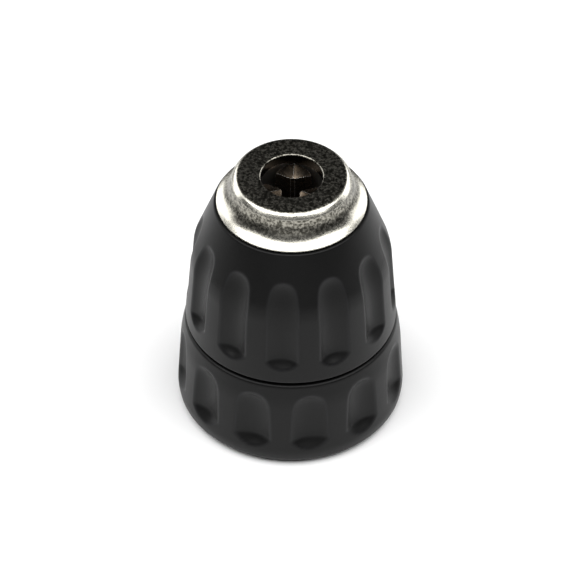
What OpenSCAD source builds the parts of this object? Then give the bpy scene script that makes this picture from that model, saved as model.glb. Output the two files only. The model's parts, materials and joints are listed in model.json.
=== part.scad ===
// Keyless drill chuck with two hand sleeves, nose up.
// Z is the spindle axis and the origin is the centre of the body's rear face.
// The front sleeve turns a split nut, and the nut's conical thread drives three jaws that slide
// in bores tilted towards the axis. A caged ball thrust bearing carries the clamping load.

/* [Overall] */
// Length from the body's rear face to the nose face
chuck_length = 48; // [47.5:0.1:48.5]
// Radius of the rear sleeve at its widest
rear_sleeve_r = 18.9; // [18.7:0.1:20]
// Radius of the front sleeve's lands at its rear edge
front_sleeve_r = 17.55; // [17.4:0.05:18.2]

/* [Grip flutes] */
// Flutes round each sleeve
flute_count = 12; // [8:1:12]
// Depth of the front sleeve's flutes under the lands
front_flute_depth = 1.35; // [1:0.05:1.4]
// Depth of the rear sleeve's flutes under the lands
rear_flute_depth = 1.4; // [0.6:0.05:1.5]

/* [Nosepiece] */
// Radius of the hole that the tool goes in through
mouth_r = 5.05; // [5.02:0.01:5.3]
// Radius of the nosepiece's neck
neck_r = 9.85; // [9.7:0.05:10.2]
// Radius of the flange that holds the front sleeve on
flange_r = 12.35; // [12:0.05:12.5]

/* [Jaws] */
// Radius of each jaw's round shank
jaw_r = 3.2; // [3:0.05:3.2]
// Length of a jaw along its own axis
jaw_length = 29; // [27:0.5:29]
// How far the jaw tips stand under the nose face as modelled
tip_setback = 1.9; // [1.9:0.1:6]

/* [Thrust bearing] */
// Diameter of the balls
ball_d = 1.588; // [1.4:0.004:1.588]
// Number of balls
ball_count = 18; // [10:1:20]

/* [Spindle socket] */
// Minor radius of the threaded socket
socket_r = 4.25; // [4:0.05:5]
// Depth of the threaded socket
socket_depth = 14.8; // [12:0.1:14.8]

/* [Hidden] */
$fn = 96;
// Overshoot that takes a cut cleanly through a face
over = 1;
// Radial clearance of a sliding or turning fit
running_gap = 0.05;

// Jaws: each axis leans in by jaw_tilt and would meet Z at apex_z, where the closed tips stand
jaw_tilt = 15.5;
jaw_azimuths = [85, 205, 325];
apex_z = chuck_length + 4.2;
jaw_setback = (apex_z - chuck_length + tip_setback) / cos(jaw_tilt);
// The jaws' flanks meet at this half angle, and keep a gap when the chuck is shut
flank_half_angle = 60;
shut_gap_r = 0.06;
// The grip edge is a narrow flat
grip_land = 0.2;
// Each tip is ground to a low roof that falls to both sides and in towards the axis
tip_roof_fall = 14;
tip_roof_lean = 8;

// Jaw thread: pitch along the jaw, and the teeth cut in the outer side from the tail up
pitch = 25.4 / 18;
tooth_depth = 0.8;
tooth_gap_mouth = 0.95;
tooth_gap_root = 0.4;
tooth_count = 16;

// Body, from the tail up
tail_r = 11;
shoulder_r = 15.25;
shoulder_z = 15.5;
bearing_z = 18;
core_r = 8.6;
journal_r = 11;
journal_z = 29.4;
seat_z = chuck_length - 5.6;
nose_r = 9.2;
nose_z = chuck_length - 1.8;
tool_bore_r = 5.4;
tool_bore_floor_z = 17.4;
screw_hole_r = 2.75;
edge_break = 0.4;
socket_chamfer = 0.8;

// Thrust bearing, stacked forwards from bearing_z
race_inner_r = 12.9;
race_outer_r = 15.2;
race_t = 0.9;
groove_depth = 0.2;
ball_pitch_r = (race_inner_r + race_outer_r) / 2;
ball_z = bearing_z + race_t - groove_depth + ball_d / 2;
front_race_z = ball_z + ball_d / 2 - groove_depth;
cage_t = 0.8;
cage_margin = 0.05;
ball_pocket_gap = 0.03;

// Split nut and the band that holds its halves together
nut_z = front_race_z + race_t + 0.02;
nut_end_z = journal_z - 0.1;
nut_r = 13.65;
band_r = 14.45;
split_gap = 0.1;
nut_thread_gap = 0.08;
dog_count = 2;
dog_w = 4;
dog_h = 1;
dog_gap = 0.1;
dog_slot_inset = 0.5;

// Front sleeve
front_sleeve_z = 17.6;
front_sleeve_end_z = seat_z - 0.25;
cone_z = 32;
cone_r = front_sleeve_r - 1.0;
cone_slope = 0.374;
bearing_pocket_r = 15.35;
nut_pocket_r = band_r + 0.1;
nut_pocket_end_z = nut_end_z + 0.1;
rim_break = 0.3;

// Rear sleeve
rear_sleeve_z = 0.3;
rear_sleeve_end_z = 17.1;
rear_foot_r = rear_sleeve_r - 1.1;
rear_heel_r = rear_sleeve_r - 0.35;
rear_heel_z = 0.9;
rear_top_r = rear_sleeve_r - 1.3;
rear_break_r = rear_sleeve_r - 0.6;
rear_break_z = 13.5;
rear_widest_z = 2.6;
rear_hub_r = 12.7;
rear_web_z = 3.4;
rear_web_end_z = 5.7;
rear_bore_r = 16;
rear_skirt_r = 16.6;
rib_count = 12;
rib_t = 1.2;
rib_inset = 0.5;
// How far the web and ribs run into the walls they join
root_overlap = 0.4;

// Flutes: each is cut by a domed cutter that leans in or out, so that it runs out near the top
// Radius of the cutter's dome over the cutter's own
dome_ratio = 1.15;
front_flute_w = 5.7;
front_flute_foot_z = 20.4;
front_flute_azimuth = 25.3;
front_flute_lean = -5;
front_flute_land_r = front_sleeve_r - 0.15;
rear_flute_w = 6.7;
rear_flute_foot_z = 3.6;
rear_flute_azimuth = 10.2;
rear_flute_lean = -1;
rear_flute_straight = 9.3;

// Radius of a cutter that leaves a flute of width w and depth d in a land of radius r
function flute_cutter_r(w, d, r) =
    let (
        half_w = w / 2,
        drop = sqrt(r * r - half_w * half_w) - (r - d)
    )
    (half_w * half_w + drop * drop) / (2 * drop);

// Radius of the jaws' axes at height z
function jaw_axis_r(z) = (apex_z - z) * tan(jaw_tilt);

// Farthest reach of a jaw of radius r from the chuck's axis at height z
function jaw_reach(z, r) = jaw_axis_r(z) + r / cos(jaw_tilt);

// A ring of rectangular section
module ring(inner_r, outer_r, z, end_z) {
    translate([0, 0, z])
    difference() {
        cylinder(r = outer_r, h = end_z - z);
        translate([0, 0, -over])
        cylinder(r = inner_r, h = end_z - z + 2 * over);
    }
}

// Places a child on the jaw axis at azimuth a: its origin is the apex and +Z points to the nose
module on_jaw_axis(a) {
    rotate([0, 0, a])
    translate([0, 0, apex_z])
    rotate([0, -jaw_tilt, 0])
    children();
}

// The bore that one jaw slides in, open at both ends
module jaw_bore(a) {
    on_jaw_axis(a)
    translate([0, 0, -(apex_z + 2) / cos(jaw_tilt)])
    cylinder(r = jaw_r + running_gap, h = apex_z / cos(jaw_tilt));
}

// Cutter of radius r with domed ends; its straight side starts at height z and runs up the land
module flute_cutter(r, depth, land_r, z, lean, straight) {
    dome_r = dome_ratio * r;
    dome_inset = sqrt(dome_r * dome_r - r * r);
    translate([land_r - depth + r, 0, z])
    rotate([0, lean, 0])
    rotate_extrude()
    intersection() {
        union() {
            translate([0, dome_inset])
            circle(r = dome_r);
            translate([0, straight - dome_inset])
            circle(r = dome_r);
            square([r, straight]);
        }
        translate([0, -dome_r])
        square([r, straight + 2 * dome_r]);
    }
}

// All the flutes round a sleeve; foot_z is where each one starts on a land of radius land_r
module flutes(w, depth, land_r, foot_z, azimuth, lean, straight) {
    r = flute_cutter_r(w, depth, land_r);
    dome_r = dome_ratio * r;
    // How far the dome reaches below the cutter's straight side where it meets the land
    foot_drop = sqrt(dome_r * dome_r - (r - depth) * (r - depth)) - sqrt(dome_r * dome_r - r * r);
    for (i = [0 : flute_count - 1])
        rotate([0, 0, azimuth + i * 360 / flute_count])
        flute_cutter(r, depth, land_r, foot_z + foot_drop, lean, straight);
}

module chuck_body() {
    color("silver")
    difference() {
        rotate_extrude()
        polygon([
            [0, 0],
            [tail_r - edge_break, 0],
            [tail_r, edge_break],
            [tail_r, shoulder_z],
            [shoulder_r - edge_break, shoulder_z],
            [shoulder_r, shoulder_z + edge_break],
            [shoulder_r, bearing_z],
            [core_r, bearing_z],
            [core_r, journal_z],
            [journal_r - edge_break, journal_z],
            [journal_r, journal_z + edge_break],
            [journal_r, seat_z],
            [nose_r, seat_z],
            [nose_r, nose_z],
            [0, nose_z]
        ]);
        translate([0, 0, tool_bore_floor_z])
        cylinder(r = tool_bore_r, h = chuck_length);
        translate([0, 0, -over])
        cylinder(r = screw_hole_r, h = chuck_length);
        translate([0, 0, -over])
        cylinder(r = socket_r, h = socket_depth + over);
        translate([0, 0, -over])
        cylinder(r1 = socket_r + socket_chamfer + over, r2 = socket_r, h = socket_chamfer + over);
        for (a = jaw_azimuths)
            jaw_bore(a);
    }
}

module rear_sleeve() {
    color("#26272a")
    difference() {
        rotate_extrude()
        union() {
            // Outer wall
            polygon([
                [rear_skirt_r, rear_sleeve_z],
                [rear_foot_r, rear_sleeve_z],
                [rear_heel_r, rear_heel_z],
                [rear_sleeve_r, rear_widest_z],
                [rear_break_r, rear_break_z],
                [rear_top_r, rear_sleeve_end_z - rim_break],
                [rear_top_r - rim_break, rear_sleeve_end_z],
                [rear_bore_r, rear_sleeve_end_z],
                [rear_bore_r, rear_web_end_z],
                [rear_skirt_r, rear_web_z]
            ]);
            // Web and the hub that is pressed on the body's tail
            translate([tail_r, rear_web_z])
            square([rear_skirt_r + root_overlap - tail_r, rear_web_end_z - rear_web_z]);
            translate([tail_r, rear_sleeve_z])
            square([rear_hub_r - tail_r, rear_web_end_z - rear_sleeve_z]);
        }
        flutes(rear_flute_w, rear_flute_depth, rear_sleeve_r, rear_flute_foot_z,
            rear_flute_azimuth, rear_flute_lean, rear_flute_straight);
    }
    color("#26272a")
    for (i = [0 : rib_count - 1])
        rotate([0, 0, (i + 0.5) * 360 / rib_count])
        translate([rear_hub_r - root_overlap, -rib_t / 2, rear_sleeve_z + rib_inset])
        cube([rear_skirt_r - rear_hub_r + 2 * root_overlap, rib_t, rear_web_z - rear_sleeve_z]);
}

module front_sleeve() {
    color("#26272a")
    difference() {
        rotate_extrude()
        polygon([
            [bearing_pocket_r, front_sleeve_z],
            [front_sleeve_r - rim_break, front_sleeve_z],
            [front_sleeve_r, front_sleeve_z + rim_break],
            [cone_r, cone_z],
            [cone_r - cone_slope * (front_sleeve_end_z - cone_z), front_sleeve_end_z],
            [journal_r + running_gap, front_sleeve_end_z],
            [journal_r + running_gap, nut_pocket_end_z],
            [nut_pocket_r, nut_pocket_end_z],
            [nut_pocket_r, nut_z],
            [bearing_pocket_r, nut_z]
        ]);
        flutes(front_flute_w, front_flute_depth, front_flute_land_r, front_flute_foot_z,
            front_flute_azimuth, front_flute_lean, chuck_length);
        for (i = [0 : dog_count - 1])
            rotate([0, 0, i * 360 / dog_count])
            translate([nut_r - dog_slot_inset, -dog_w / 2 - dog_gap, nut_end_z])
            cube([nut_pocket_r - nut_r + dog_slot_inset, dog_w + 2 * dog_gap, dog_h + 2 * dog_gap]);
    }
}

module nosepiece() {
    // The flare is a hollow arc that leaves the neck upright and runs out at the flange's edge
    flare_top = [neck_r, seat_z + 4.2];
    flare_edge = [flange_r, seat_z + 0.35];
    flare_r = 4.2;
    chord = flare_edge - flare_top;
    flare_centre = (flare_top + flare_edge) / 2
        + [-chord[1], chord[0]] / norm(chord) * sqrt(flare_r * flare_r - chord * chord / 4);
    edge_w = 1.15;
    edge_h = 1;
    mouth_chamfer = 0.2;
    flange_break = 0.12;
    color("gainsboro")
    rotate_extrude()
    difference() {
        polygon([
            [nose_r, seat_z],
            [flange_r - flange_break, seat_z],
            [flange_r, seat_z + flange_break],
            flare_edge,
            [flange_r, flare_top[1]],
            flare_top,
            [neck_r, chuck_length - edge_h],
            [neck_r - edge_w, chuck_length],
            [mouth_r + mouth_chamfer, chuck_length],
            [mouth_r, chuck_length - mouth_chamfer],
            [mouth_r, nose_z],
            [nose_r, nose_z]
        ]);
        intersection() {
            translate(flare_centre)
            circle(r = flare_r);
            translate([neck_r, flare_edge[1]])
            square([flange_r, flare_top[1] - flare_edge[1]]);
        }
    }
}

// One round of jaw teeth: the gaps are arcs about the chuck's own axis, as the nut cuts across them.
// They are placed where the tooth passes the middle of the nut.
module tooth_gap() {
    mid_z = (nut_z + nut_end_z) / 2;
    axis_r = jaw_axis_r(mid_z);
    crest_r = jaw_reach(mid_z, jaw_r);
    rotate([0, jaw_tilt, 0])
    translate([-axis_r, 0, 0])
    rotate_extrude()
    polygon([
        [crest_r - tooth_depth, -tooth_gap_root / 2],
        [crest_r + 0.2, -tooth_gap_mouth / 2],
        [crest_r + 0.2, tooth_gap_mouth / 2],
        [crest_r - tooth_depth, tooth_gap_root / 2]
    ]);
}

// A jaw at azimuth 0, shut. Its flanks are planes along Z, so the grip edge is parallel to the axis
module shut_jaw(tooth_phase) {
    flank_len = 3 * jaw_r;
    difference() {
        intersection() {
            on_jaw_axis(0)
            translate([0, 0, -jaw_length])
            cylinder(r = jaw_r, h = jaw_length + 2 * jaw_r);
            translate([shut_gap_r, 0, 0])
            linear_extrude(height = 2 * chuck_length)
            polygon([
                [grip_land, grip_land * tan(flank_half_angle)],
                [grip_land, -grip_land * tan(flank_half_angle)],
                [flank_len, -flank_len * tan(flank_half_angle)],
                [6 * jaw_r, -flank_len * tan(flank_half_angle)],
                [6 * jaw_r, flank_len * tan(flank_half_angle)],
                [flank_len, flank_len * tan(flank_half_angle)]
            ]);
            // Roof-shaped tip
            translate([jaw_r, 0, apex_z])
            rotate([0, -tip_roof_lean, 0])
            rotate([90, 0, -90])
            linear_extrude(height = 8 * jaw_r, center = true)
            polygon([
                [0, 0],
                [4 * jaw_r, -4 * jaw_r * tan(tip_roof_fall)],
                [4 * jaw_r, -3 * chuck_length],
                [-4 * jaw_r, -3 * chuck_length],
                [-4 * jaw_r, -4 * jaw_r * tan(tip_roof_fall)]
            ]);
        }
        on_jaw_axis(0)
        for (i = [0 : tooth_count - 1])
            translate([0, 0, -jaw_length + (i + 0.5 + tooth_phase) * pitch])
            tooth_gap();
        // Chamfer round the tail
        on_jaw_axis(0)
        translate([0, 0, -jaw_length])
        difference() {
            translate([0, 0, -over])
            cylinder(r = 2 * jaw_r, h = over + edge_break);
            cylinder(r1 = jaw_r - edge_break, r2 = jaw_r, h = edge_break);
            translate([0, 0, -2 * over])
            cylinder(r = jaw_r - edge_break, h = 2 * over + edge_break / 2);
        }
    }
}

module jaw(number) {
    color("darkgray")
    rotate([0, 0, jaw_azimuths[number - 1]])
    translate([jaw_setback * sin(jaw_tilt), 0, -jaw_setback * cos(jaw_tilt)])
    shut_jaw((number - 1) / 3);
}

// The whole nut, bored to the cone that the jaw teeth sweep
module whole_nut() {
    bore_r = jaw_reach(nut_z, jaw_r) + nut_thread_gap;
    bore_end_r = jaw_reach(nut_end_z, jaw_r) + nut_thread_gap;
    rotate_extrude()
    polygon([
        [bore_r, nut_z],
        [nut_r, nut_z],
        [nut_r, nut_end_z],
        [bore_end_r, nut_end_z]
    ]);
}

// The nut is made in one piece and broken in two so that it goes round the body's core
module nut_half(side) {
    color("dimgray")
    intersection() {
        whole_nut();
        translate([-2 * nut_r, side > 0 ? split_gap / 2 : -2 * nut_r - split_gap / 2, 0])
        cube([4 * nut_r, 2 * nut_r, chuck_length]);
    }
}

module nut_band() {
    color("slategray") {
        ring(nut_r, band_r, nut_z, nut_end_z);
        for (i = [0 : dog_count - 1])
            rotate([0, 0, i * 360 / dog_count])
            intersection() {
                ring(nut_r, band_r, nut_end_z - over, nut_end_z + dog_h);
                translate([0, -dog_w / 2, 0])
                cube([2 * band_r, dog_w, chuck_length]);
            }
    }
}

// A hardened washer with a ball groove on one face
module race(z) {
    difference() {
        ring(race_inner_r, race_outer_r, z, z + race_t);
        translate([0, 0, ball_z])
        rotate_extrude()
        translate([ball_pitch_r, 0])
        circle(d = ball_d);
    }
}

module ball_cage() {
    color("goldenrod")
    difference() {
        ring(race_inner_r + cage_margin, race_outer_r - cage_margin,
            ball_z - cage_t / 2, ball_z + cage_t / 2);
        for (i = [0 : ball_count - 1])
            rotate([0, 0, i * 360 / ball_count])
            translate([ball_pitch_r, 0, ball_z - cage_t])
            cylinder(d = ball_d + 2 * ball_pocket_gap, h = 2 * cage_t);
    }
}

module ball(number) {
    color("whitesmoke")
    rotate([0, 0, (number - 1) * 360 / ball_count])
    translate([ball_pitch_r, 0, ball_z])
    sphere(d = ball_d - 0.01);
}

chuck_body();
rear_sleeve();
nosepiece();
front_sleeve();
for (n = [1 : 3])
    jaw(n);
nut_half(1);  // nut_half_a
nut_half(-1);  // nut_half_b
nut_band();
color("silver") race(bearing_z);  // rear_race
color("silver") race(front_race_z);  // front_race
ball_cage();
for (n = [1 : ball_count])
    ball(n);
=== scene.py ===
import json
import math

import bmesh
import bpy
import numpy as np
from mathutils import Matrix, Vector


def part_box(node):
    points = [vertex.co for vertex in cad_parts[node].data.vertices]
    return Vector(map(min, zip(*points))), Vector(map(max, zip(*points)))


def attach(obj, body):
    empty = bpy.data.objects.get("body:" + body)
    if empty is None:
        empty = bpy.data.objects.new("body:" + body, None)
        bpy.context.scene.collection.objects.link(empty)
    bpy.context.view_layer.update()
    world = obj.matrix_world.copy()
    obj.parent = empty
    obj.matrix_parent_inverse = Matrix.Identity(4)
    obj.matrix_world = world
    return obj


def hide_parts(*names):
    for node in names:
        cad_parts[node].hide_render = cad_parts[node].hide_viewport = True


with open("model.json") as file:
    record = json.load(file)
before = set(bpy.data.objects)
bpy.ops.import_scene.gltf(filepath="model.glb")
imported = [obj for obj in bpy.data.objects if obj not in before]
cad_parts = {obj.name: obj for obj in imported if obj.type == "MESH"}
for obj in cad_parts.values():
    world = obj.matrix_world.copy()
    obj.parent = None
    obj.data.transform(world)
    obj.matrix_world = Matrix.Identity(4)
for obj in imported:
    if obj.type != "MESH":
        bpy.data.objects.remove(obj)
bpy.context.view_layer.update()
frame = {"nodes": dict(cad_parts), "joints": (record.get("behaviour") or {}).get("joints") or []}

# --- Chuck body -------------------------------------------------------------------------------
# The body is bar steel turned on a lathe, with the tool bore and the spindle socket drilled from
# its two ends and three slanted bores drilled for the jaws. It is left bright under a film of oil.
MM = 0.001
BODY_STEPS = 192

body_bottom, body_top = (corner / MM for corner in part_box("chuck_body"))
nose_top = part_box("nosepiece")[1].z / MM
jaw_joints = [j for j in frame["joints"] if j["name"].startswith("jaw_")]
JAW_TILT = math.acos(jaw_joints[0]["axis"][2])
JAW_BORE_R = 3.25
APEX_Z = nose_top + 4.2

shoulder_r = body_top.x
shoulder_z, bearing_z = 15.5, 18.0
journal_z, journal_r = 29.4, 11.0
seat_z = nose_top - 5.6
TAIL_R, CORE_R, NOSE_R = 11.0, 8.6, 9.2
TOOL_BORE_R, TOOL_BORE_FLOOR = 5.4, 17.4
SCREW_HOLE_R = 2.75
SOCKET_DEPTH, SOCKET_MINOR_R, SOCKET_MAJOR_R = 14.8, 4.25, 4.68
SOCKET_PITCH, SOCKET_TURNS, SOCKET_THREAD_Z = 25.4 / 24, 11.5, 1.6
ROOT_SUNK = 0.1


def turned_piece(corners, steps, finest=None):
    """A solid of revolution from corners of (radius, height, rounding) in mm. Outline edges that
    finest picks, given an edge's middle, are cut to that length."""
    bm = bmesh.new()
    points = [bm.verts.new((r * MM, 0, z * MM)) for r, z, rounding in corners]
    face = bm.faces.new(points)
    for size in sorted({c[2] for c in corners if c[2] > 0}):
        group = [p for p, c in zip(points, corners) if c[2] == size]
        bmesh.ops.bevel(bm, geom=group, offset=size * MM, affect="VERTICES", segments=5,
                        profile=0.5, material=-1)
    bmesh.ops.delete(bm, geom=bm.faces[:], context="FACES_ONLY")
    if finest:
        for edge in bm.edges[:]:
            middle = (edge.verts[0].co + edge.verts[1].co) / 2 / MM
            step = finest(middle.x, middle.z)
            cuts = int(edge.calc_length() / MM / step) if step else 0
            if cuts:
                bmesh.ops.subdivide_edges(bm, edges=[edge], cuts=cuts)
    bmesh.ops.spin(bm, geom=bm.verts[:] + bm.edges[:], axis=(0, 0, 1), cent=(0, 0, 0),
                   angle=2 * math.pi, steps=steps, use_merge=True)
    bmesh.ops.remove_doubles(bm, verts=bm.verts[:], dist=0.0005 * MM)
    bmesh.ops.recalc_face_normals(bm, faces=bm.faces[:])
    return bm


def finish_piece(name, bm, body, slot, material, *nodes, sharp=32):
    """Makes the mesh an object that rides on a body and stands for its CAD nodes."""
    mesh = bpy.data.meshes.new(name)
    bm.to_mesh(mesh)
    bm.free()
    mesh.shade_smooth()
    mesh.set_sharp_from_angle(angle=math.radians(sharp))
    piece = bpy.data.objects.new(name, mesh)
    bpy.context.scene.collection.objects.link(piece)
    mesh.materials.append(material)
    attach(piece, body)
    if nodes:
        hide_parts(*nodes)
    return piece


def helix(profile, lead, turns, steps_a_turn, start_z, start_angle, shrink=0.0):
    """A right-hand screw ridge. profile is its section as (radius, height) in mm, and shrink is how
    much radius it loses for each mm of height."""
    bm = bmesh.new()
    ring = [bm.verts.new((r * MM, 0, (start_z + z) * MM)) for r, z in profile]
    for number, v in enumerate(ring):
        bm.edges.new((ring[number - 1], v))
    bmesh.ops.rotate(bm, verts=ring, cent=(0, 0, 0), matrix=Matrix.Rotation(start_angle, 3, "Z"))
    bmesh.ops.spin(bm, geom=bm.verts[:] + bm.edges[:], axis=(0, 0, 1), cent=(0, 0, 0),
                   dvec=(0, 0, lead * MM / steps_a_turn), angle=2 * math.pi * turns,
                   steps=round(turns * steps_a_turn), use_merge=False)
    bmesh.ops.holes_fill(bm, edges=[e for e in bm.edges if e.is_boundary], sides=0)
    for v in bm.verts:
        flat = Vector((v.co.x, v.co.y, 0))
        v.co -= flat.normalized() * shrink * (v.co.z - start_z * MM)
    bmesh.ops.recalc_face_normals(bm, faces=bm.faces[:])
    return bm


def linear(hex_colour):
    """An sRGB hex colour as linear RGBA."""
    parts = [int(hex_colour[i:i + 2], 16) / 255 for i in (1, 3, 5)]
    return [p / 12.92 if p <= 0.04045 else ((p + 0.055) / 1.055) ** 2.4 for p in parts] + [1.0]


def add_node(tree, kind, settings=None, **inputs):
    """Adds a node. Settings are its properties; an input is a value or an output socket."""
    node = tree.nodes.new(kind)
    for key, value in (settings or {}).items():
        setattr(node, key, value)
    for key, value in inputs.items():
        name = key.replace("_", " ").strip()
        socket = node.inputs[int(name[2:])] if name.startswith("in") and name[2:].isdigit() \
            else node.inputs[name]
        if isinstance(value, bpy.types.NodeSocket):
            tree.links.new(value, socket)
        else:
            socket.default_value = value
    return node


def new_material(name, **shader_values):
    """An empty material with its shader: returns the material, its tree and the shader."""
    material = bpy.data.materials.new(name)
    material.use_nodes = True
    tree = material.node_tree
    tree.nodes.clear()
    shader = add_node(tree, "ShaderNodeBsdfPrincipled", **shader_values)
    output = add_node(tree, "ShaderNodeOutputMaterial", Surface=shader.outputs[0])
    output.is_active_output = True
    return material, tree, shader


def turned_steel():
    # Free-cutting steel as turned: fine rings follow the tool round the axis, and a film of oil
    # darkens it unevenly. The eye sees a grey metal with a soft streak across its rings.
    material, tree, shader = new_material("turned_steel", Metallic=1.0)
    place = add_node(tree, "ShaderNodeTexCoord")
    axis_parts = add_node(tree, "ShaderNodeSeparateXYZ", Vector=place.outputs["Object"])
    radius = add_node(tree, "ShaderNodeVectorMath", {"operation": "LENGTH"}, in0=add_node(
        tree, "ShaderNodeCombineXYZ", X=axis_parts.outputs["X"], Y=axis_parts.outputs["Y"]).outputs[0])
    feed = add_node(tree, "ShaderNodeMath", {"operation": "ADD"}, in0=radius.outputs["Value"],
                    in1=axis_parts.outputs["Z"])
    # Tool rings 0.25 mm apart
    rings = add_node(tree, "ShaderNodeMath", {"operation": "SINE"}, in0=add_node(
        tree, "ShaderNodeMath", {"operation": "MULTIPLY"}, in0=feed.outputs[0],
        in1=2 * math.pi / (0.25 * MM)).outputs[0])
    film = add_node(tree, "ShaderNodeTexNoise", Vector=place.outputs["Object"], Scale=1 / (4 * MM),
                    Detail=4.0)
    colour = add_node(tree, "ShaderNodeMix", {"data_type": "RGBA"}, Factor=film.outputs["Fac"],
                      in6=linear("#8b8a88"), in7=linear("#b4b3b0"))
    tree.links.new(colour.outputs[2], shader.inputs["Base Color"])
    rough = add_node(tree, "ShaderNodeMapRange", Value=film.outputs["Fac"], To_Min=0.24, To_Max=0.42)
    tree.links.new(rough.outputs[0], shader.inputs["Roughness"])
    bump = add_node(tree, "ShaderNodeBump", Strength=0.25, Distance=0.01 * MM, Height=rings.outputs[0])
    tree.links.new(bump.outputs[0], shader.inputs["Normal"])
    return material


steel = turned_steel()
body = turned_piece([
    (SOCKET_MAJOR_R + 0.4, 0, 0), (TAIL_R, 0, 0.5), (TAIL_R, shoulder_z, 0.3),
    (shoulder_r, shoulder_z, 0.4), (shoulder_r, bearing_z, 0.15), (CORE_R, bearing_z, 0.3),
    (CORE_R, journal_z, 0.3), (journal_r, journal_z, 0.4), (journal_r, seat_z, 0.2),
    (NOSE_R, seat_z, 0.1), (NOSE_R, body_top.z, 0.3), (TOOL_BORE_R, body_top.z, 0.3),
    (TOOL_BORE_R, TOOL_BORE_FLOOR, 0.4), (SCREW_HOLE_R, TOOL_BORE_FLOOR, 0.2),
    (SCREW_HOLE_R, SOCKET_DEPTH, 0.1), (SOCKET_MAJOR_R, SOCKET_DEPTH, 0.2),
    (SOCKET_MAJOR_R, 0.5, 0.1),
], BODY_STEPS)
body_piece = finish_piece("body", body, "body", "body_steel", steel, "chuck_body")


def jaw_frame(joint):
    """The matrix from a jaw's own frame, origin at the apex and +Z to the nose, to the row's."""
    azimuth = math.atan2(-joint["axis"][1], -joint["axis"][0])
    return (Matrix.Rotation(azimuth, 4, "Z") @ Matrix.Translation((0, 0, APEX_Z * MM))
            @ Matrix.Rotation(-JAW_TILT, 4, "Y"))


# The three jaw bores are cut as a drill would, by one cutter that is then thrown away
drill = bmesh.new()
for joint in jaw_joints:
    length = APEX_Z / math.cos(JAW_TILT) * MM
    bmesh.ops.create_cone(drill, cap_ends=True, segments=96, radius1=JAW_BORE_R * MM,
                          radius2=JAW_BORE_R * MM, depth=length,
                          matrix=jaw_frame(joint) @ Matrix.Translation((0, 0, -length / 2 - 2 * MM)))


def cut_with(piece, cutter_bm):
    """Cuts the shapes in cutter_bm out of a finished piece."""
    mesh = bpy.data.meshes.new("cutter")
    cutter_bm.to_mesh(mesh)
    cutter_bm.free()
    cutter = bpy.data.objects.new("cutter", mesh)
    bpy.context.scene.collection.objects.link(cutter)
    cut = piece.modifiers.new("cut", "BOOLEAN")
    cut.object, cut.operation, cut.solver = cutter, "DIFFERENCE", "EXACT"
    cut.use_self = True
    bpy.context.view_layer.update()
    result = bpy.data.meshes.new_from_object(
        piece.evaluated_get(bpy.context.evaluated_depsgraph_get()))
    piece.modifiers.remove(cut)
    old, piece.data = piece.data, result
    bpy.data.meshes.remove(old)
    bpy.data.objects.remove(cutter)
    bpy.data.meshes.remove(mesh)
    result.shade_smooth()
    result.set_sharp_from_angle(angle=math.radians(32))


cut_with(body_piece, drill)

# The 3/8-24 spindle thread stands in from the socket's wall, with its root sunk a little in the steel
socket_thread = helix([
    (SOCKET_MAJOR_R + ROOT_SUNK, -0.5), (SOCKET_MINOR_R, -0.13), (SOCKET_MINOR_R, 0.13),
    (SOCKET_MAJOR_R + ROOT_SUNK, 0.5),
], SOCKET_PITCH, SOCKET_TURNS, 64, SOCKET_THREAD_Z, 0)
finish_piece("spindle_thread", socket_thread, "body", "body_steel", steel)

# --- Rear sleeve --------------------------------------------------------------------------------
# The ring that the hand or the drill's collar holds is injection-moulded glass-filled nylon,
# pressed on the body's tail. Its flutes, web and ribs come straight out of the mould.
SLEEVE_STEPS = 480
FLUTES, DOME_RATIO, FLUTE_ROUNDING = 12, 1.15, 0.24
rear_low, rear_high = (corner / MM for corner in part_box("rear_sleeve"))
rear_r = rear_high.x
REAR_FLUTE_DEPTH, REAR_FLUTE_W, REAR_FLUTE_FOOT, REAR_FLUTE_TOP = 1.4, 6.7, 3.6, 15.8
REAR_FLUTE_TURN = math.radians(10.2)
REAR_BORE_R, REAR_SKIRT_R, REAR_HUB_R = 16.0, 16.6, 12.7
WEB_LOW, WEB_HIGH = 3.4, 5.7
RIBS, RIB_T, RIB_INSET, RIB_ROOT = 12, 1.2, 0.5, 0.2


def flute_the_wall(bm, land_r, depth, width, floor_r, foot_z, azimuth, wall_r):
    """Presses the flutes into the wall outside wall_r(z) by moving its points in. Each is the mark of
    a round cutter with a domed foot. Its deepest line is floor_r(z), and it runs out where that meets
    the wall. Leaves how near each point is to a flute's edge in a float layer, the mask of a painted
    highlight."""
    edge_highlight = bm.verts.layers.float.new("edge_highlight")
    half = width / 2
    drop = math.sqrt(land_r ** 2 - half ** 2) - (land_r - depth)
    cutter_r = (half ** 2 + drop ** 2) / (2 * drop)
    dome_r = DOME_RATIO * cutter_r
    dome_inset = math.sqrt(dome_r ** 2 - cutter_r ** 2)
    straight_z = foot_z + math.sqrt(dome_r ** 2 - (cutter_r - depth) ** 2) - dome_inset
    pitch = 2 * math.pi / FLUTES
    for v in bm.verts:
        r, z = math.hypot(v.co.x, v.co.y) / MM, v.co.z / MM
        if r < wall_r(z):
            continue
        turn = math.atan2(v.co.y, v.co.x) - azimuth
        turn -= round(turn / pitch) * pitch
        beyond = straight_z - z
        section_r = cutter_r
        if beyond > 0:
            section_r = math.sqrt(max(dome_r ** 2 - (beyond + dome_inset) ** 2, 0.0))
        centre_r = floor_r(z) + cutter_r
        under = section_r ** 2 - (centre_r * math.sin(turn)) ** 2
        if under <= 0:
            continue
        cut_r = centre_r * math.cos(turn) - math.sqrt(under)
        blend = max(1 - abs(r - cut_r) / FLUTE_ROUNDING, 0.0)
        new_r = min(r, cut_r) - blend * blend * FLUTE_ROUNDING / 4
        v.co.x *= new_r / r
        v.co.y *= new_r / r
        # Painted highlight mask: 1 on a flute's edge, where the base colour turns lighter
        v[edge_highlight] = blend


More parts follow.
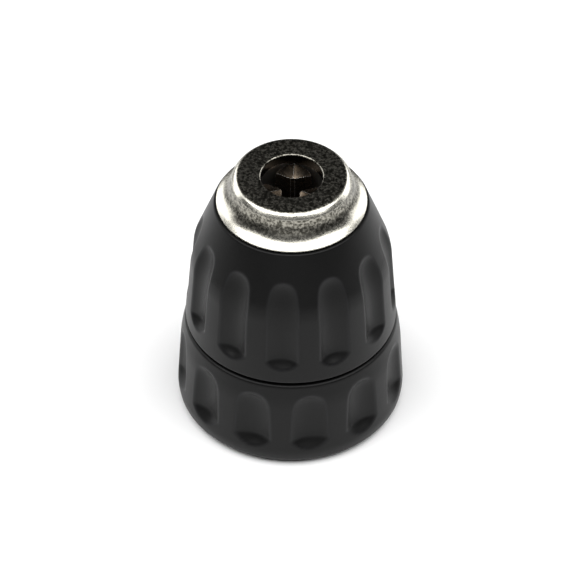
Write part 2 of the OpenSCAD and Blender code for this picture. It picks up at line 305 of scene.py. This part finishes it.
def moulded_nylon():
    # Glass-filled nylon, moulded black in a spark-eroded mould: matt, with a fine even grain.
    # Its flute edges carry a painted highlight: a lighter grey base where they round over. The fine
    # grain scatters part of the surface reflection, so the index is set below the solid's 1.53. Grain is
    # drawn 0.3 mm wide, coarser than the real 0.1 mm, so that it shows.
    material, tree, shader = new_material("moulded_black_nylon", Metallic=0.0, IOR=1.29)
    place = add_node(tree, "ShaderNodeTexCoord")
    grain = add_node(tree, "ShaderNodeTexNoise", Vector=place.outputs["Object"],
                     Scale=1 / (0.3 * MM), Detail=3.0, Roughness=0.6)
    cloud = add_node(tree, "ShaderNodeTexNoise", Vector=place.outputs["Object"],
                     Scale=1 / (7 * MM), Detail=3.0)
    highlight_mask = add_node(tree, "ShaderNodeAttribute", {"attribute_name": "edge_highlight"})
    base = add_node(tree, "ShaderNodeMix", {"data_type": "RGBA"}, in6=linear("#060606"),
                    in7=linear("#0b0b0b"), Factor=cloud.outputs["Fac"])
    # Painted highlight: the base turns lighter grey along the rounded flute edges
    highlighted_base = add_node(tree, "ShaderNodeMix", {"data_type": "RGBA"}, in6=base.outputs[2],
                         in7=linear("#202022"), Factor=add_node(
                             tree, "ShaderNodeMath", {"operation": "MULTIPLY"},
                             in0=highlight_mask.outputs["Fac"], in1=0.5).outputs[0])
    tree.links.new(highlighted_base.outputs[2], shader.inputs["Base Color"])
    rough = add_node(tree, "ShaderNodeMapRange", Value=cloud.outputs["Fac"], To_Min=0.34, To_Max=0.46)
    tree.links.new(rough.outputs[0], shader.inputs["Roughness"])
    bump = add_node(tree, "ShaderNodeBump", Strength=0.6, Distance=0.03 * MM,
                    Height=grain.outputs["Fac"])
    tree.links.new(bump.outputs[0], shader.inputs["Normal"])
    return material


nylon = moulded_nylon()
rear = turned_piece([
    (REAR_SKIRT_R, rear_low.z, 0.2), (rear_r - 1.1, rear_low.z, 0.35),
    (rear_r - 0.3, rear_low.z + 0.7, 0.5), (rear_r, rear_low.z + 2.3, 0.6), (rear_r - 0.6, 13.5, 1.2),
    (rear_r - 1.3, rear_high.z, 0.45), (REAR_BORE_R, rear_high.z, 0.15), (REAR_BORE_R, WEB_HIGH, 0.5),
    (TAIL_R, WEB_HIGH, 0.15), (TAIL_R, rear_low.z, 0.15), (REAR_HUB_R, rear_low.z, 0.2),
    (REAR_HUB_R, WEB_LOW, 0.4), (REAR_SKIRT_R, WEB_LOW, 0.4),
], SLEEVE_STEPS, lambda r, z: 0.3 if r > 17.0 and z > 1.5 else None)


def rear_flute_floor(z):
    # The flutes get a little deeper upwards, then run out in an arch under the top ring
    depth = REAR_FLUTE_DEPTH + 0.0175 * (z - REAR_FLUTE_FOOT)
    return rear_r - depth * (1 - math.exp((z - REAR_FLUTE_TOP) / 1.1))


flute_the_wall(rear, rear_r, REAR_FLUTE_DEPTH, REAR_FLUTE_W, rear_flute_floor, REAR_FLUTE_FOOT,
               REAR_FLUTE_TURN, lambda z: 16.9)
finish_piece("rear_sleeve_moulding", rear, "body", "sleeve_plastic", nylon, "rear_sleeve")

# Ribs tie the hub to the skirt underneath
ribs = bmesh.new()
rib_low, rib_high = rear_low.z + RIB_INSET, WEB_LOW + RIB_ROOT
for number in range(RIBS):
    turn = Matrix.Rotation((number + 0.5) * 2 * math.pi / RIBS, 4, "Z")
    bmesh.ops.create_cube(ribs, size=1.0, matrix=turn @ Matrix.LocRotScale(
        Vector(((REAR_HUB_R + REAR_SKIRT_R) / 2, 0, (rib_low + rib_high) / 2)) * MM, None,
        Vector((REAR_SKIRT_R - REAR_HUB_R + 2 * RIB_ROOT, RIB_T, rib_high - rib_low)) * MM))
bmesh.ops.bevel(ribs, geom=ribs.edges[:], offset=0.15 * MM, affect="EDGES", segments=3, profile=0.5,
                material=-1)
finish_piece("rear_sleeve_ribs", ribs, "body", "sleeve_plastic", nylon)

# --- Thrust bearing -----------------------------------------------------------------------------
# Two hardened washers with a ground groove, and a brass strip cage with 1/16 inch balls. It
# carries the clamping load, so its steel is polished.
RACE_IN, RACE_OUT, GROOVE_DEPTH = 12.9, 15.2, 0.2
BALL_D, POCKET_GAP = 1.588, 0.03
PITCH_R = (RACE_IN + RACE_OUT) / 2
groove_reach = math.acos(1 - 2 * GROOVE_DEPTH / BALL_D)
ball_nodes = sorted((n for n in frame["nodes"] if n.startswith("ball_") and n != "ball_cage"),
                    key=lambda n: int(n.split("_")[1]))
ball_z = sum(c.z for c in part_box("ball_1")) / 2 / MM


def polished_steel():
    # Bearing steel, hardened, ground and lapped: close to a mirror, with faint haze.
    material, tree, shader = new_material("lapped_bearing_steel", Metallic=1.0,
                                          Base_Color=linear("#c8c9cb"))
    place = add_node(tree, "ShaderNodeTexCoord")
    haze = add_node(tree, "ShaderNodeTexNoise", Vector=place.outputs["Object"], Scale=1 / (0.6 * MM),
                    Detail=4.0)
    rough = add_node(tree, "ShaderNodeMapRange", Value=haze.outputs["Fac"], To_Min=0.06, To_Max=0.16)
    tree.links.new(rough.outputs[0], shader.inputs["Roughness"])
    return material


def stamped_brass():
    # Brass strip, blanked and pierced: warm, slightly dull, with rolling streaks.
    material, tree, shader = new_material("stamped_brass", Metallic=1.0)
    place = add_node(tree, "ShaderNodeTexCoord")
    stretch = add_node(tree, "ShaderNodeMapping", Vector=place.outputs["Object"], Scale=(1, 12, 12))
    streak = add_node(tree, "ShaderNodeTexNoise", Vector=stretch.outputs[0], Scale=1 / (3 * MM))
    colour = add_node(tree, "ShaderNodeMix", {"data_type": "RGBA"}, Factor=streak.outputs["Fac"],
                      in6=linear("#a8853f"), in7=linear("#d9b562"))
    tree.links.new(colour.outputs[2], shader.inputs["Base Color"])
    rough = add_node(tree, "ShaderNodeMapRange", Value=streak.outputs["Fac"], To_Min=0.25, To_Max=0.4)
    tree.links.new(rough.outputs[0], shader.inputs["Roughness"])
    return material


lapped = polished_steel()
for node_name, body_name, facing in (("rear_race", "body", 1), ("front_race", "sleeve", -1)):
    low, high = (corner.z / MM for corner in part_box(node_name))
    grooved, plain = (high, low) if facing > 0 else (low, high)
    centre = grooved + facing * (BALL_D / 2 - GROOVE_DEPTH)
    groove = [(PITCH_R + BALL_D / 2 * math.sin(a), centre - facing * BALL_D / 2 * math.cos(a), 0)
              for a in np.linspace(-groove_reach, groove_reach, 9)]
    race = turned_piece([(RACE_IN, plain, 0.12), (RACE_IN, grooved, 0.12)] + groove
                        + [(RACE_OUT, grooved, 0.12), (RACE_OUT, plain, 0.12)], 160)
    finish_piece(node_name + "_ground", race, body_name, "bearing_steel", lapped, node_name)

cage_low, cage_high = (corner.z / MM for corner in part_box("ball_cage"))
cage = turned_piece([(RACE_IN + 0.05, cage_low, 0.1), (RACE_OUT - 0.05, cage_low, 0.1),
                     (RACE_OUT - 0.05, cage_high, 0.1), (RACE_IN + 0.05, cage_high, 0.1)], 180)
cage_piece = finish_piece("ball_cage_strip", cage, "bearing", "cage_brass", stamped_brass(), "ball_cage")
# Its pockets are punched through, one for each ball
punch = bmesh.new()
pocket_r = BALL_D / 2 + POCKET_GAP
for number in range(len(ball_nodes)):
    turn = Matrix.Rotation(number * 2 * math.pi / len(ball_nodes), 4, "Z")
    bmesh.ops.create_cone(punch, cap_ends=True, segments=40, radius1=pocket_r * MM,
                          radius2=pocket_r * MM, depth=4 * MM,
                          matrix=turn @ Matrix.Translation((PITCH_R * MM, 0, ball_z * MM)))
cut_with(cage_piece, punch)

for node_name in ball_nodes:
    low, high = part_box(node_name)
    ball = bmesh.new()
    bmesh.ops.create_icosphere(ball, subdivisions=4, radius=(BALL_D - 0.01) / 2 * MM,
                               matrix=Matrix.Translation((low + high) / 2))
    finish_piece(node_name + "_lapped", ball, "bearing", "bearing_steel", lapped, node_name)

# --- Split nut and band -------------------------------------------------------------------------
# The nut is turned and threaded as one conical ring, hardened, then broken in two so that it goes
# round the body's core. A steel band holds the halves together, and its dogs take the sleeve's drive.
NUT_PITCH = 25.4 / 18
JAW_R, TOOTH_DEPTH = 3.2, 0.8
THREAD_GAP, NUT_R, SPLIT = 0.08, 13.65, 0.1
DOG_W, DOG_H, DOG_SUNK, DOG_INSET = 3.92, 1.0, 0.2, 0.03
nut_low, nut_high = (corner.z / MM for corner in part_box("nut_half_a"))
band_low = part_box("nut_band")[0].z / MM
band_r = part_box("nut_band")[1].x / MM


def jaw_reach(z):
    """How far a jaw's outer side stands from the axis at height z, in mm."""
    return (APEX_Z - z) * math.tan(JAW_TILT) + JAW_R / math.cos(JAW_TILT)


def phosphated_steel():
    # Hardened steel with a phosphate coat: dark grey, dry and slightly mottled.
    material, tree, shader = new_material("phosphated_steel", Metallic=0.85)
    place = add_node(tree, "ShaderNodeTexCoord")
    crystals = add_node(tree, "ShaderNodeTexNoise", Vector=place.outputs["Object"],
                        Scale=1 / (0.4 * MM), Detail=4.0)
    colour = add_node(tree, "ShaderNodeMix", {"data_type": "RGBA"}, Factor=crystals.outputs["Fac"],
                      in6=linear("#3f4042"), in7=linear("#626365"))
    tree.links.new(colour.outputs[2], shader.inputs["Base Color"])
    rough = add_node(tree, "ShaderNodeMapRange", Value=crystals.outputs["Fac"], To_Min=0.4, To_Max=0.62)
    tree.links.new(rough.outputs[0], shader.inputs["Roughness"])
    bump = add_node(tree, "ShaderNodeBump", Strength=0.3, Distance=0.01 * MM,
                    Height=crystals.outputs["Fac"])
    tree.links.new(bump.outputs[0], shader.inputs["Normal"])
    return material


phosphate = phosphated_steel()
for side, node_name in ((1, "nut_half_a"), (-1, "nut_half_b")):
    nut = turned_piece([
        (jaw_reach(nut_low) + THREAD_GAP, nut_low, 0.15), (NUT_R, nut_low, 0.3),
        (NUT_R, nut_high, 0.3), (jaw_reach(nut_high) + THREAD_GAP, nut_high, 0.15),
    ], 144)
    bmesh.ops.bisect_plane(nut, geom=nut.verts[:] + nut.edges[:] + nut.faces[:],
                           plane_co=(0, side * SPLIT / 2 * MM, 0), plane_no=(0, -side, 0),
                           clear_outer=True)
    bmesh.ops.holes_fill(nut, edges=[e for e in nut.edges if e.is_boundary], sides=0)
    bmesh.ops.recalc_face_normals(nut, faces=nut.faces[:])
    finish_piece(node_name + "_ring", nut, "sleeve", "nut_steel", phosphate, node_name)

band = turned_piece([(NUT_R, band_low, 0.1), (band_r, band_low, 0.25), (band_r, nut_high, 0.15),
                     (NUT_R, nut_high, 0.1)], 160)
finish_piece("nut_band_ring", band, "sleeve", "nut_steel", phosphate, "nut_band")
dogs = bmesh.new()
for side in (1, -1):
    bmesh.ops.create_cube(dogs, size=1.0, matrix=Matrix.LocRotScale(
        Vector((side * (NUT_R + band_r) / 2, 0, nut_high + DOG_H / 2 - DOG_SUNK)) * MM, None,
        Vector((band_r - NUT_R - 2 * DOG_INSET, DOG_W, DOG_H + 0.3)) * MM))
bmesh.ops.bevel(dogs, geom=dogs.edges[:], offset=0.08 * MM, affect="EDGES", segments=3, profile=0.5,
                material=-1)
finish_piece("nut_band_dogs", dogs, "sleeve", "nut_steel", phosphate)

# --- Jaws ---------------------------------------------------------------------------------------
# Each jaw is a hardened round pin, ground to a 120 degree wedge whose edge grips the tool, with
# coarse teeth cut in its back for the nut. The ground faces are bright; the round back is duller.
def ground_steel():
    # Tool steel, hardened and ground: fine straight scratches run across the jaw, on a grey metal
    # with straw and brown tints from tempering. Its rounded edges carry a painted highlight: a
    # near-white, rougher base.
    material, tree, shader = new_material("ground_tool_steel", Metallic=1.0)
    place = add_node(tree, "ShaderNodeTexCoord")
    stretch = add_node(tree, "ShaderNodeMapping", Vector=place.outputs["Object"], Scale=(1, 1, 9))
    scratch = add_node(tree, "ShaderNodeTexNoise", Vector=stretch.outputs[0], Scale=1 / (1.2 * MM),
                       Detail=5.0)
    tint = add_node(tree, "ShaderNodeTexNoise", Vector=place.outputs["Object"], Scale=1 / (1.8 * MM),
                    Detail=2.0)
    colour = add_node(tree, "ShaderNodeMix", {"data_type": "RGBA"}, Factor=tint.outputs["Fac"],
                      in6=linear("#63625f"), in7=linear("#97826a"))
    highlight_mask = add_node(tree, "ShaderNodeAttribute", {"attribute_name": "edge_highlight"})
    # Painted highlight: a near-white base on the rounded edges, so the grip edge shines
    edged = add_node(tree, "ShaderNodeMix", {"data_type": "RGBA"}, Factor=highlight_mask.outputs["Fac"],
                     in6=colour.outputs[2], in7=linear("#f0efec"))
    tree.links.new(edged.outputs[2], shader.inputs["Base Color"])
    rough = add_node(tree, "ShaderNodeMapRange", Value=scratch.outputs["Fac"], To_Min=0.16, To_Max=0.36)
    edge_rough = add_node(tree, "ShaderNodeMath", {"operation": "MULTIPLY_ADD"},
                          in0=highlight_mask.outputs["Fac"], in1=0.25, in2=rough.outputs[0])
    tree.links.new(edge_rough.outputs[0], shader.inputs["Roughness"])
    bump = add_node(tree, "ShaderNodeBump", Strength=0.3, Distance=0.015 * MM,
                    Height=scratch.outputs["Fac"])
    tree.links.new(bump.outputs[0], shader.inputs["Normal"])
    return material


ground = ground_steel()
JAW_LENGTH, SHUT_GAP, GRIP_LAND, JAW_EDGE = 29.0, 0.06, 0.2, 0.13
ROOF_FALL, ROOF_LEAN = math.radians(14), math.radians(8)
TOOTH_COUNT, GAP_MOUTH, GAP_ROOT = 16, 0.95, 0.4
jaw_setback = (APEX_Z - nose_top + 1.9) / math.cos(JAW_TILT)
nut_middle = (nut_low + nut_high) / 2
axis_r = (APEX_Z - nut_middle) * math.tan(JAW_TILT)
crest_r = jaw_reach(nut_middle)
on_axis = Matrix.Translation((0, 0, APEX_Z * MM)) @ Matrix.Rotation(-JAW_TILT, 4, "Y")
blank = JAW_LENGTH + 2 * JAW_R
ridge = (JAW_R * MM, 0, APEX_Z * MM)
lean = Matrix.Rotation(-ROOF_LEAN, 3, "Y")
grip = (SHUT_GAP * MM, 0, 0)
flank = math.radians(60)
for number, joint in enumerate(jaw_joints):
    jaw = bmesh.new()
    bmesh.ops.create_cone(jaw, cap_ends=True, segments=96, radius1=JAW_R * MM, radius2=JAW_R * MM,
                          depth=blank * MM,
                          matrix=on_axis @ Matrix.Translation((0, 0, (blank / 2 - JAW_LENGTH) * MM)))
    # Ground faces: the narrow grip edge, its two flanks, and the two slopes of the roofed tip
    for point, facing in (
            (((SHUT_GAP + GRIP_LAND) * MM, 0, 0), Vector((-1, 0, 0))),
            (grip, Vector((-math.sin(flank), math.cos(flank), 0))),
            (grip, Vector((-math.sin(flank), -math.cos(flank), 0))),
            (ridge, lean @ Vector((0, math.sin(ROOF_FALL), math.cos(ROOF_FALL)))),
            (ridge, lean @ Vector((0, -math.sin(ROOF_FALL), math.cos(ROOF_FALL))))):
        bmesh.ops.bisect_plane(jaw, geom=jaw.verts[:] + jaw.edges[:] + jaw.faces[:], plane_co=point,
                               plane_no=facing, clear_outer=True)
        bmesh.ops.holes_fill(jaw, edges=[e for e in jaw.edges if e.is_boundary], sides=0)
    bmesh.ops.recalc_face_normals(jaw, faces=jaw.faces[:])
    corners = [e for e in jaw.edges if e.calc_face_angle(0) > math.radians(20)]
    # The rounded edges are marked for a painted highlight
    edge_highlight = jaw.faces.layers.float.new("edge_highlight")
    rounded = bmesh.ops.bevel(jaw, geom=corners, offset=JAW_EDGE * MM, affect="EDGES",
                              segments=3, profile=0.5, material=-1, clamp_overlap=True)
    for face in rounded["faces"]:
        face[edge_highlight] = 1.0
    seat = (Matrix.Rotation(math.atan2(-joint["axis"][1], -joint["axis"][0]), 4, "Z")
            @ Matrix.Translation((jaw_setback * math.sin(JAW_TILT) * MM, 0,
                                  -jaw_setback * math.cos(JAW_TILT) * MM)))
    bmesh.ops.transform(jaw, matrix=seat, verts=jaw.verts[:])
    jaw_piece = finish_piece(joint["child"] + "_ground", jaw, joint["child"], "jaw_steel", ground,
                             joint["child"])
    # Tooth gaps, each an arc about the chuck's axis where the nut crosses it
    gaps = bmesh.new()
    for tooth in range(TOOTH_COUNT):
        along = -JAW_LENGTH + (tooth + 0.5 + number / len(jaw_joints)) * NUT_PITCH
        gap = turned_piece([
            (crest_r - TOOTH_DEPTH, -GAP_ROOT / 2, 0), (crest_r + 0.6, -GAP_MOUTH / 2, 0),
            (crest_r + 0.6, GAP_MOUTH / 2, 0), (crest_r - TOOTH_DEPTH, GAP_ROOT / 2, 0),
        ], 120)
        bmesh.ops.transform(gap, verts=gap.verts[:], matrix=seat @ on_axis @ Matrix.Translation(
            (0, 0, along * MM)) @ Matrix.Rotation(JAW_TILT, 4, "Y")
            @ Matrix.Translation((-axis_r * MM, 0, 0)))
        ring_mesh = bpy.data.meshes.new("gap")
        gap.to_mesh(ring_mesh)
        gap.free()
        gaps.from_mesh(ring_mesh)
        bpy.data.meshes.remove(ring_mesh)
    cut_with(jaw_piece, gaps)

# The nut's thread: a right-hand conical ridge whose turns sit in the jaws' tooth gaps
lead = NUT_PITCH * math.cos(JAW_TILT)
first_gap = APEX_Z - (JAW_LENGTH - 0.5 * NUT_PITCH + jaw_setback) * math.cos(JAW_TILT)
azimuth = math.atan2(-jaw_joints[0]["axis"][1], -jaw_joints[0]["axis"][0])
ridge_z = first_gap - azimuth / (2 * math.pi) * lead
ridge_z += math.ceil((nut_low + 0.5 - ridge_z) / lead) * lead
root_r = jaw_reach(ridge_z) + THREAD_GAP + 0.12
tip_r = jaw_reach(ridge_z) + THREAD_GAP - 0.6
nut_thread = helix([(root_r, -0.36), (tip_r, -0.14), (tip_r, 0.14), (root_r, 0.36)], lead,
                   (nut_high - 0.5 - ridge_z) / lead, 120, ridge_z, 0, math.tan(JAW_TILT))
finish_piece("nut_thread", nut_thread, "sleeve", "nut_steel", phosphate)

# --- Front sleeve -------------------------------------------------------------------------------
# The hand sleeve is the same black nylon, moulded in one piece. It turns on the body's journal
# and drives the nut through two slots. Its flutes run out in the cone at the front.
front_low, front_high = (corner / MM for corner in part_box("front_sleeve"))
FRONT_R, FRONT_BORE_R, RUNNING_GAP, POCKET_CLEARANCE = 17.55, 15.35, 0.05, 0.1
CONE_Z, CONE_R, CONE_SLOPE = 32.0, FRONT_R - 1.0, 0.374
FRONT_FLUTE_DEPTH, FRONT_FLUTE_W, FRONT_FLUTE_FOOT, FRONT_FLUTE_TOP = 1.35, 5.7, 20.4, 37.3
FRONT_FLUTE_TURN = math.radians(25.3)
cone_top_r = CONE_R - CONE_SLOPE * (front_high.z - CONE_Z)
bore_r = journal_r + RUNNING_GAP
pocket_r, pocket_z = band_r + POCKET_CLEARANCE, nut_high + POCKET_CLEARANCE
front = turned_piece([
    (FRONT_BORE_R, front_low.z, 0.2), (FRONT_R, front_low.z, 0.5), (CONE_R, CONE_Z, 1.6),
    (cone_top_r, front_high.z, 0.18), (bore_r, front_high.z, 0.2), (bore_r, pocket_z, 0.2),
    (pocket_r, pocket_z, 0.2), (pocket_r, nut_low, 0.1), (FRONT_BORE_R, nut_low, 0.2),
], SLEEVE_STEPS, lambda r, z: 0.28 if r > 16.0 or (r > 13.2 and z > 32.5) else None)


def front_flute_floor(z):
    # The flutes' floor bends in softly with the cone and comes up to it at the top
    taper = FRONT_R - 0.069 * (z - front_low.z)
    cone = CONE_R - CONE_SLOPE * (z - CONE_Z)
    wall = -math.log(math.exp(-2 * taper) + math.exp(-2 * cone)) / 2
    depth = 1.2 - 0.02 * (z - FRONT_FLUTE_FOOT)
    return wall - depth * (1 - math.exp((z - FRONT_FLUTE_TOP) / 1.3))


flute_the_wall(front, FRONT_R - 0.15, FRONT_FLUTE_DEPTH, FRONT_FLUTE_W, front_flute_floor,
               FRONT_FLUTE_FOOT, FRONT_FLUTE_TURN, lambda z: 15.8 if z < 31 else 13.0)
front_piece = finish_piece("front_sleeve_moulding", front, "sleeve", "sleeve_plastic", nylon,
                           "front_sleeve")
# The slots that the band's dogs stand in
slots = bmesh.new()
for side in (1, -1):
    bmesh.ops.create_cube(slots, size=1.0, matrix=Matrix.LocRotScale(
        Vector((side * (NUT_R + band_r - 0.2) / 2, 0, nut_high + 0.3)) * MM, None,
        Vector((band_r - NUT_R + 0.8, DOG_W + 0.28, DOG_H + 0.8)) * MM))
cut_with(front_piece, slots)

# --- Nosepiece ----------------------------------------------------------------------------------
# The nosepiece is turned steel with bright nickel plate, pressed on the body's nose. Its flare
# keeps the front sleeve on, and its mouth takes the tool.
nose_low, nose_high = (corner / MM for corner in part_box("nosepiece"))
MOUTH_R, NECK_R, RIM_W, RIM_H = 5.05, 9.85, 0.75, 0.9
flange_r = nose_high.x
FLARE_TOP, FLARE_EDGE, FLARE_R = (NECK_R, seat_z + 4.2), (flange_r, seat_z + 0.35), 4.2


def arc(start, end, radius, count):
    """Points on a hollow arc that falls from start out to end, centred above and outside it."""
    a, b = Vector(start), Vector(end)
    chord = b - a
    centre = (a + b) / 2 + Vector((-chord.y, chord.x)).normalized() * math.sqrt(
        radius ** 2 - chord.length_squared / 4)
    first, last = (math.atan2(p.y - centre.y, p.x - centre.x) % (2 * math.pi) for p in (a, b))
    return [(centre.x + radius * math.cos(t), centre.y + radius * math.sin(t), 0)
            for t in np.linspace(first, last, count)]


def nickel_plate():
    # Steel under thin nickel, handled and dulled: a warm grey metal. The plate follows the tumbled
    # surface below, so its reflections are mottled in patches about half a millimetre across. A painted
    # highlight makes the flange and rim almost white, and painted shade makes the mouth nearly black.
    material, tree, shader = new_material("bright_nickel_plate", Metallic=1.0)
    place = add_node(tree, "ShaderNodeTexCoord")
    mottle = add_node(tree, "ShaderNodeTexNoise", Vector=place.outputs["Object"],
                      Scale=1 / (0.45 * MM), Detail=3.0, Roughness=0.6)
    patches = add_node(tree, "ShaderNodeMapRange", {"interpolation_type": "SMOOTHSTEP"},
                       Value=mottle.outputs["Fac"], From_Min=0.38, From_Max=0.62)
    colour = add_node(tree, "ShaderNodeMix", {"data_type": "RGBA"}, Factor=patches.outputs[0],
                      in6=linear("#47453e"), in7=linear("#a3a096"))
    plate_highlight = add_node(tree, "ShaderNodeAttribute", {"attribute_name": "plate_highlight"})
    mouth_shade = add_node(tree, "ShaderNodeAttribute", {"attribute_name": "mouth_shade"})
    # Painted highlight: the flange and rim turn almost white
    bright = add_node(tree, "ShaderNodeMix", {"data_type": "RGBA"}, Factor=plate_highlight.outputs["Fac"],
                      in6=colour.outputs[2], in7=linear("#d6d3c8"))
    # Painted shade: the mouth turns nearly black
    plate = add_node(tree, "ShaderNodeMix", {"data_type": "RGBA"}, Factor=mouth_shade.outputs["Fac"],
                     in6=bright.outputs[2], in7=linear("#0e0d0b"))
    tree.links.new(plate.outputs[2], shader.inputs["Base Color"])
    rough = add_node(tree, "ShaderNodeMapRange", Value=mottle.outputs["Fac"], To_Min=0.16, To_Max=0.36)
    tree.links.new(rough.outputs[0], shader.inputs["Roughness"])
    bump = add_node(tree, "ShaderNodeBump", Strength=0.6, Distance=0.03 * MM,
                    Height=mottle.outputs["Fac"])
    tree.links.new(bump.outputs[0], shader.inputs["Normal"])
    return material


nosepiece = turned_piece([
    (NOSE_R, nose_low.z, 0.1), (flange_r, nose_low.z, 0.1),
] + arc(FLARE_TOP, FLARE_EDGE, FLARE_R, 16)[::-1] + [
    (NECK_R, nose_top - RIM_H, 0.1), (NECK_R - RIM_W, nose_top, 0.5),
    (MOUTH_R + 0.2, nose_top, 0.06), (MOUTH_R, nose_top - 0.2, 0.06), (MOUTH_R, body_top.z, 0.1),
    (NOSE_R, body_top.z, 0.1),
], 256)
# A painted highlight keeps the flange and rim bright: its mask is 1 there. Painted shade darkens the
# mouth, where its own mask is 1
plate_highlight = nosepiece.verts.layers.float.new("plate_highlight")
mouth_shade = nosepiece.verts.layers.float.new("mouth_shade")
for v in nosepiece.verts:
    r, z = math.hypot(v.co.x, v.co.y) / MM, v.co.z / MM
    if r > NECK_R + 0.4:
        v[plate_highlight] = min((r - NECK_R - 0.4) / 1.2, 1.0)
    elif r > NECK_R - RIM_W - 0.05 and z > nose_top - RIM_H - 0.05:
        v[plate_highlight] = 1.0
    elif r < MOUTH_R + 0.15 and z < nose_top - 0.15:
        v[mouth_shade] = 1.0
finish_piece("nosepiece_cap", nosepiece, "body", "plated_steel", nickel_plate(), "nosepiece")

# --- Studio -------------------------------------------------------------------------------------
# A white paper floor with painted light falloff, greying past the view, one broad soft light overhead,
# bright low screens and a dark room behind, so the nose face stays dark while its edges and flare are
# bright, helped by the plate's painted highlight.
CAMERA_ELEVATION, CAMERA_ROLL = math.radians(43.5), math.radians(0.35)
CAMERA_DISTANCE, CAMERA_LENS = 0.95, 358
FLOOR_LIT_TO, FLOOR_SHADED_FROM = 0.085, 0.24
LIGHT_PLACE, LIGHT_POWER = (0, -0.21, 0.75), 16
target = Vector((-0.0005, 0, 0.0228))
camera_data = bpy.data.cameras.new("camera")
camera_data.lens, camera_data.sensor_width = CAMERA_LENS, 36
camera = bpy.data.objects.new("camera", camera_data)
back = Vector((0, -math.cos(CAMERA_ELEVATION), math.sin(CAMERA_ELEVATION)))
turn = back.to_track_quat("Z", "Y").to_matrix().to_4x4() @ Matrix.Rotation(CAMERA_ROLL, 4, "Z")
camera.matrix_world = Matrix.Translation(target + back * CAMERA_DISTANCE) @ turn
camera_data.clip_end = 10
bpy.context.scene.collection.objects.link(camera)
bpy.context.scene.camera = camera

floor_bm = bmesh.new()
bmesh.ops.create_grid(floor_bm, x_segments=1, y_segments=1, size=4.0)
floor_mesh = bpy.data.meshes.new("floor")
floor_bm.to_mesh(floor_mesh)
floor_bm.free()
floor = bpy.data.objects.new("floor", floor_mesh)
bpy.context.scene.collection.objects.link(floor)
paper, tree, shader = new_material("white_paper_floor", Roughness=0.9)
place = add_node(tree, "ShaderNodeTexCoord")
away = add_node(tree, "ShaderNodeVectorMath", {"operation": "LENGTH"}, in0=place.outputs["Object"])
# Painted light falloff: the floor's colour turns grey away from the chuck
light_falloff = add_node(tree, "ShaderNodeMapRange", {"interpolation_type": "SMOOTHSTEP"},
                Value=away.outputs["Value"], From_Min=FLOOR_LIT_TO, From_Max=FLOOR_SHADED_FROM)
shade = add_node(tree, "ShaderNodeMix", {"data_type": "RGBA"}, Factor=light_falloff.outputs[0],
                 in6=linear("#f4f4f4"), in7=linear("#6a6a6a"))
tree.links.new(shade.outputs[2], shader.inputs["Base Color"])
floor_mesh.materials.append(paper)

key_data = bpy.data.lights.new("overhead", "AREA")
key_data.shape, key_data.size, key_data.size_y = "RECTANGLE", 2.0, 0.75
key_data.energy = LIGHT_POWER
key = bpy.data.objects.new("overhead", key_data)
key.location = LIGHT_PLACE
bpy.context.scene.collection.objects.link(key)

# Surroundings: bright low screens at the back left and back right, a faint glow in front, and a
# dark room elsewhere
world = bpy.data.worlds.new("surroundings")
bpy.context.scene.world = world
world.use_nodes = True
world_tree = world.node_tree
world_tree.nodes.clear()
direction = add_node(world_tree, "ShaderNodeTexCoord")
part = add_node(world_tree, "ShaderNodeSeparateXYZ", Vector=direction.outputs["Generated"])


def ramp(value, low, high, low_value, high_value):
    """A smooth step of the world's light, from low_value to high_value."""
    return add_node(world_tree, "ShaderNodeMapRange", {"interpolation_type": "SMOOTHSTEP"},
                    Value=value, From_Min=low, From_Max=high, To_Min=low_value,
                    To_Max=high_value).outputs[0]


def times(a, b):
    """The product of two values of the world's light."""
    return add_node(world_tree, "ShaderNodeMath", {"operation": "MULTIPLY"}, in0=a, in1=b).outputs[0]


sideways = add_node(world_tree, "ShaderNodeMath", {"operation": "ABSOLUTE"}, in0=part.outputs["X"])
screens = times(times(ramp(sideways.outputs[0], 0.42, 0.52, 0, 2.4),
                      ramp(part.outputs["Y"], 0.15, 0.35, 0, 1)),
                ramp(part.outputs["Z"], 0.5, 0.66, 1, 0))
glow = times(times(ramp(sideways.outputs[0], 0.3, 0.6, 0.7, 0),
                   ramp(part.outputs["Y"], -0.6, -0.2, 1, 0)),
             ramp(part.outputs["Z"], 0.2, 0.5, 1, 0))
light = add_node(world_tree, "ShaderNodeMath", {"operation": "ADD"}, in0=screens, in1=glow)
room = add_node(world_tree, "ShaderNodeMath", {"operation": "ADD"}, in0=light.outputs[0], in1=0.05)
background = add_node(world_tree, "ShaderNodeBackground", Color=linear("#ffffff"),
                      Strength=room.outputs[0])
add_node(world_tree, "ShaderNodeOutputWorld", Surface=background.outputs[0])
bpy.context.scene.view_settings.view_transform = "Standard"
